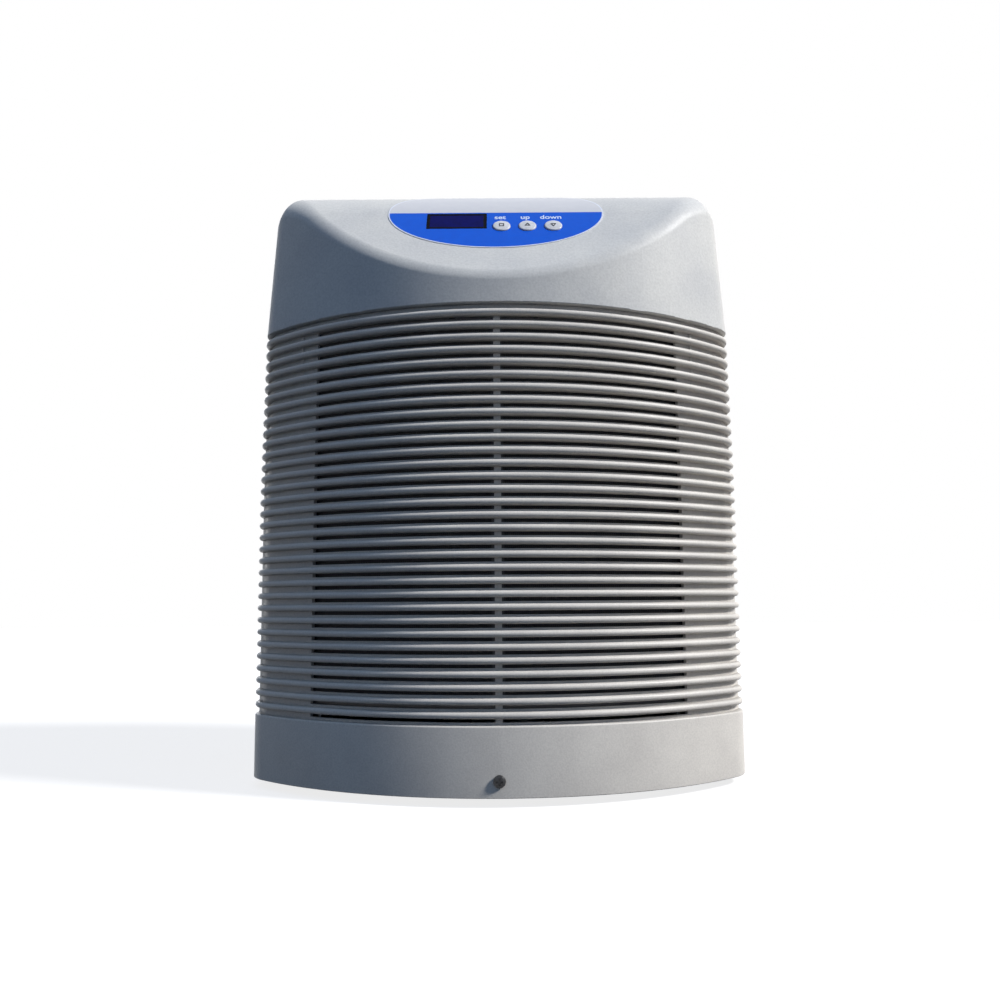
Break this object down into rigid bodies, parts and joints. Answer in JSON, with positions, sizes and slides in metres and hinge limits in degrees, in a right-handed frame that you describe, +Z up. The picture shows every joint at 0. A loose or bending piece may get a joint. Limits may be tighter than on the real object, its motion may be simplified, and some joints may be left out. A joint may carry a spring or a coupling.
{
  "type": "aquarium water chiller",
  "caption": "Upright cabinet chiller for aquarium water, with ribbed bowed front and sides, a sloped control facet, two hose spigots, a fan, a condenser and a coil tank.",
  "frame": {"origin": "middle of the footprint at the underside of the feet, with the hose spigots counted in the depth", "axes": "+Z up, front faces -Y, +X to the right as seen from the front"},
  "size_m": [0.357, 0.3146, 0.4484],
  "materials": {
    "housing_plastic": "fine satin grain, warm light grey",
    "cap_plastic": "fine satin grain, warm light grey",
    "dark_plastic": "moulded, dark grey",
    "black_plastic": "moulded, black",
    "filter_net": "fine woven net, black",
    "rubber": "dull black",
    "screw_steel": "zinc plated",
    "label": "blue film under a grey upper band",
    "window": "smooth dark blue",
    "button": "satin light grey",
    "board": "solder mask green",
    "aluminium": "mill finish",
    "galvanised": "zinc coated sheet",
    "copper": "drawn copper",
    "motor_paint": "grey enamel",
    "compressor_paint": "black enamel",
    "foam_lagging": "dull black foam over the tube",
    "tank_plastic": "smooth off-white",
    "titanium": "drawn titanium, bright",
    "lead_sheath": "smooth black sheath",
    "rocker": "red, satin"
  },
  "bodies": {
    "housing": {"base_tray": "dark_plastic", "feet": "rubber", "tray_screws": "screw_steel", "rear_housing": "housing_plastic", "top_cap": "cap_plastic", "cap_screws": "screw_steel", "panel_overlay": "label", "display_window": "window", "display_module": "black_plastic", "button_switches": "black_plastic", "controller_board": "board", "board_screws": "screw_steel", "board_shield": "dark_plastic", "condenser_fins": "aluminium", "condenser_tubes": "copper", "condenser_plates": "galvanised", "fan_shroud": "dark_plastic", "fan_motor": "motor_paint", "fan_bracket": "galvanised", "compressor_shell": "compressor_paint", "compressor_base": "compressor_paint", "compressor_grommets": "rubber", "compressor_bolts": "screw_steel", "terminal_cover": "dark_plastic", "run_capacitor": "aluminium", "capacitor_clip": "galvanised", "discharge_line": "copper", "liquid_line": "copper", "filter_drier": "copper", "drier_clip": "galvanised", "capillary_tube": "copper", "suction_line": "foam_lagging", "exchanger_shell": "tank_plastic", "exchanger_lid": "tank_plastic", "exchanger_coil": "titanium", "exchanger_foot": "dark_plastic", "exchanger_strap": "galvanised", "water_inlet": "black_plastic", "water_outlet": "black_plastic", "spigot_seals": "rubber", "temperature_probe": "titanium", "probe_lead": "lead_sheath", "service_panel": "dark_plastic", "panel_screws": "screw_steel", "power_inlet": "black_plastic", "terminal_block": "tank_plastic", "mains_leads": "lead_sheath"},
    "cover": {"front_cover": "housing_plastic", "cover_screw": "screw_steel", "filter_frame": "dark_plastic", "filter_mesh": "filter_net"},
    "fan": {"fan_rotor": "dark_plastic", "fan_shaft": "screw_steel"},
    "set_key": {"button_set": "button"},
    "up_key": {"button_up": "button"},
    "down_key": {"button_down": "button"},
    "inlet_ring": {"inlet_nut": "black_plastic"},
    "outlet_ring": {"outlet_nut": "black_plastic"},
    "mains_rocker": {"rocker_switch": "rocker"},
    "fuse_tray": {"fuse_drawer": "black_plastic"}
  },
  "joints": [
    {"name": "cover_pull", "type": "slide", "parent": "housing", "child": "cover", "axis": [0, -1, 0], "range_m": [0, 0.08]},
    {"name": "fan_spin", "type": "hinge", "parent": "housing", "child": "fan", "pos_m": [0, -0.0562, 0.166], "axis": [0, 1, 0], "continuous": true},
    {"name": "set_press", "type": "slide", "parent": "housing", "child": "set_key", "axis": [0, 0.8192, -0.5736], "range_m": [0, 0.0008], "stiffness_N_per_m": 400},
    {"name": "up_press", "type": "slide", "parent": "housing", "child": "up_key", "axis": [0, 0.8192, -0.5736], "range_m": [0, 0.0008], "stiffness_N_per_m": 400},
    {"name": "down_press", "type": "slide", "parent": "housing", "child": "down_key", "axis": [0, 0.8192, -0.5736], "range_m": [0, 0.0008], "stiffness_N_per_m": 400},
    {"name": "inlet_ring_turn", "type": "hinge", "parent": "housing", "child": "inlet_ring", "pos_m": [0.092, 0.1283, 0.086], "axis": [0, 1, 0], "continuous": true},
    {"name": "outlet_ring_turn", "type": "hinge", "parent": "housing", "child": "outlet_ring", "pos_m": [0.092, 0.1283, 0.176], "axis": [0, 1, 0], "continuous": true},
    {"name": "mains_rocker_tilt", "type": "hinge", "parent": "housing", "child": "mains_rocker", "pos_m": [-0.016, 0.11744, 0.104], "axis": [1, 0, 0], "range_deg": [0, 24]},
    {"name": "fuse_tray_pull", "type": "slide", "parent": "housing", "child": "fuse_tray", "axis": [0, 1, 0], "range_m": [0, 0.012]}
  ]
}
